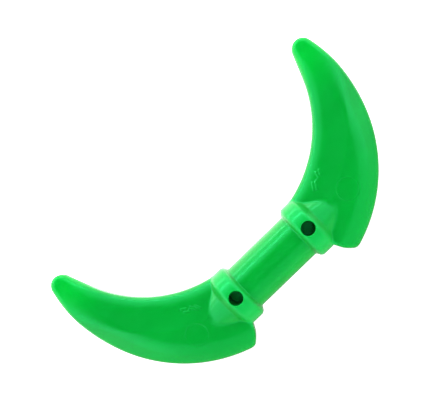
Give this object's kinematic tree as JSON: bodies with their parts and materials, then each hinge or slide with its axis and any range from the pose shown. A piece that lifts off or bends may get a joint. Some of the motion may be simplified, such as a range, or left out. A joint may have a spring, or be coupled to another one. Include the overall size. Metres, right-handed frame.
{
  "type": "toy twin crescent claw",
  "caption": "Crescent-shaped toy claw: a curved blade with a drilled collar turns on each end of a short round grip that a toy figure's hand or a clip holds.",
  "frame": {"origin": "centre of the grip's axis, half way between the collars", "axes": "+X along the grip, +Y towards the claw tips, +Z normal to the blades and out of the pin holes"},
  "size_m": [0.0356, 0.0184, 0.006],
  "materials": {
    "green_plastic": "glossy injection-moulded plastic"
  },
  "bodies": {
    "grip": {"grip": "green_plastic"},
    "left_claw": {"left_claw": "green_plastic"},
    "right_claw": {"right_claw": "green_plastic"}
  },
  "joints": [
    {"name": "left_claw_turn", "type": "hinge", "parent": "grip", "child": "left_claw", "pos_m": [-0.0047, 0, 0], "axis": [1, 0, 0], "continuous": true},
    {"name": "right_claw_turn", "type": "hinge", "parent": "grip", "child": "right_claw", "pos_m": [0.0047, 0, 0], "axis": [1, 0, 0], "continuous": true}
  ]
}
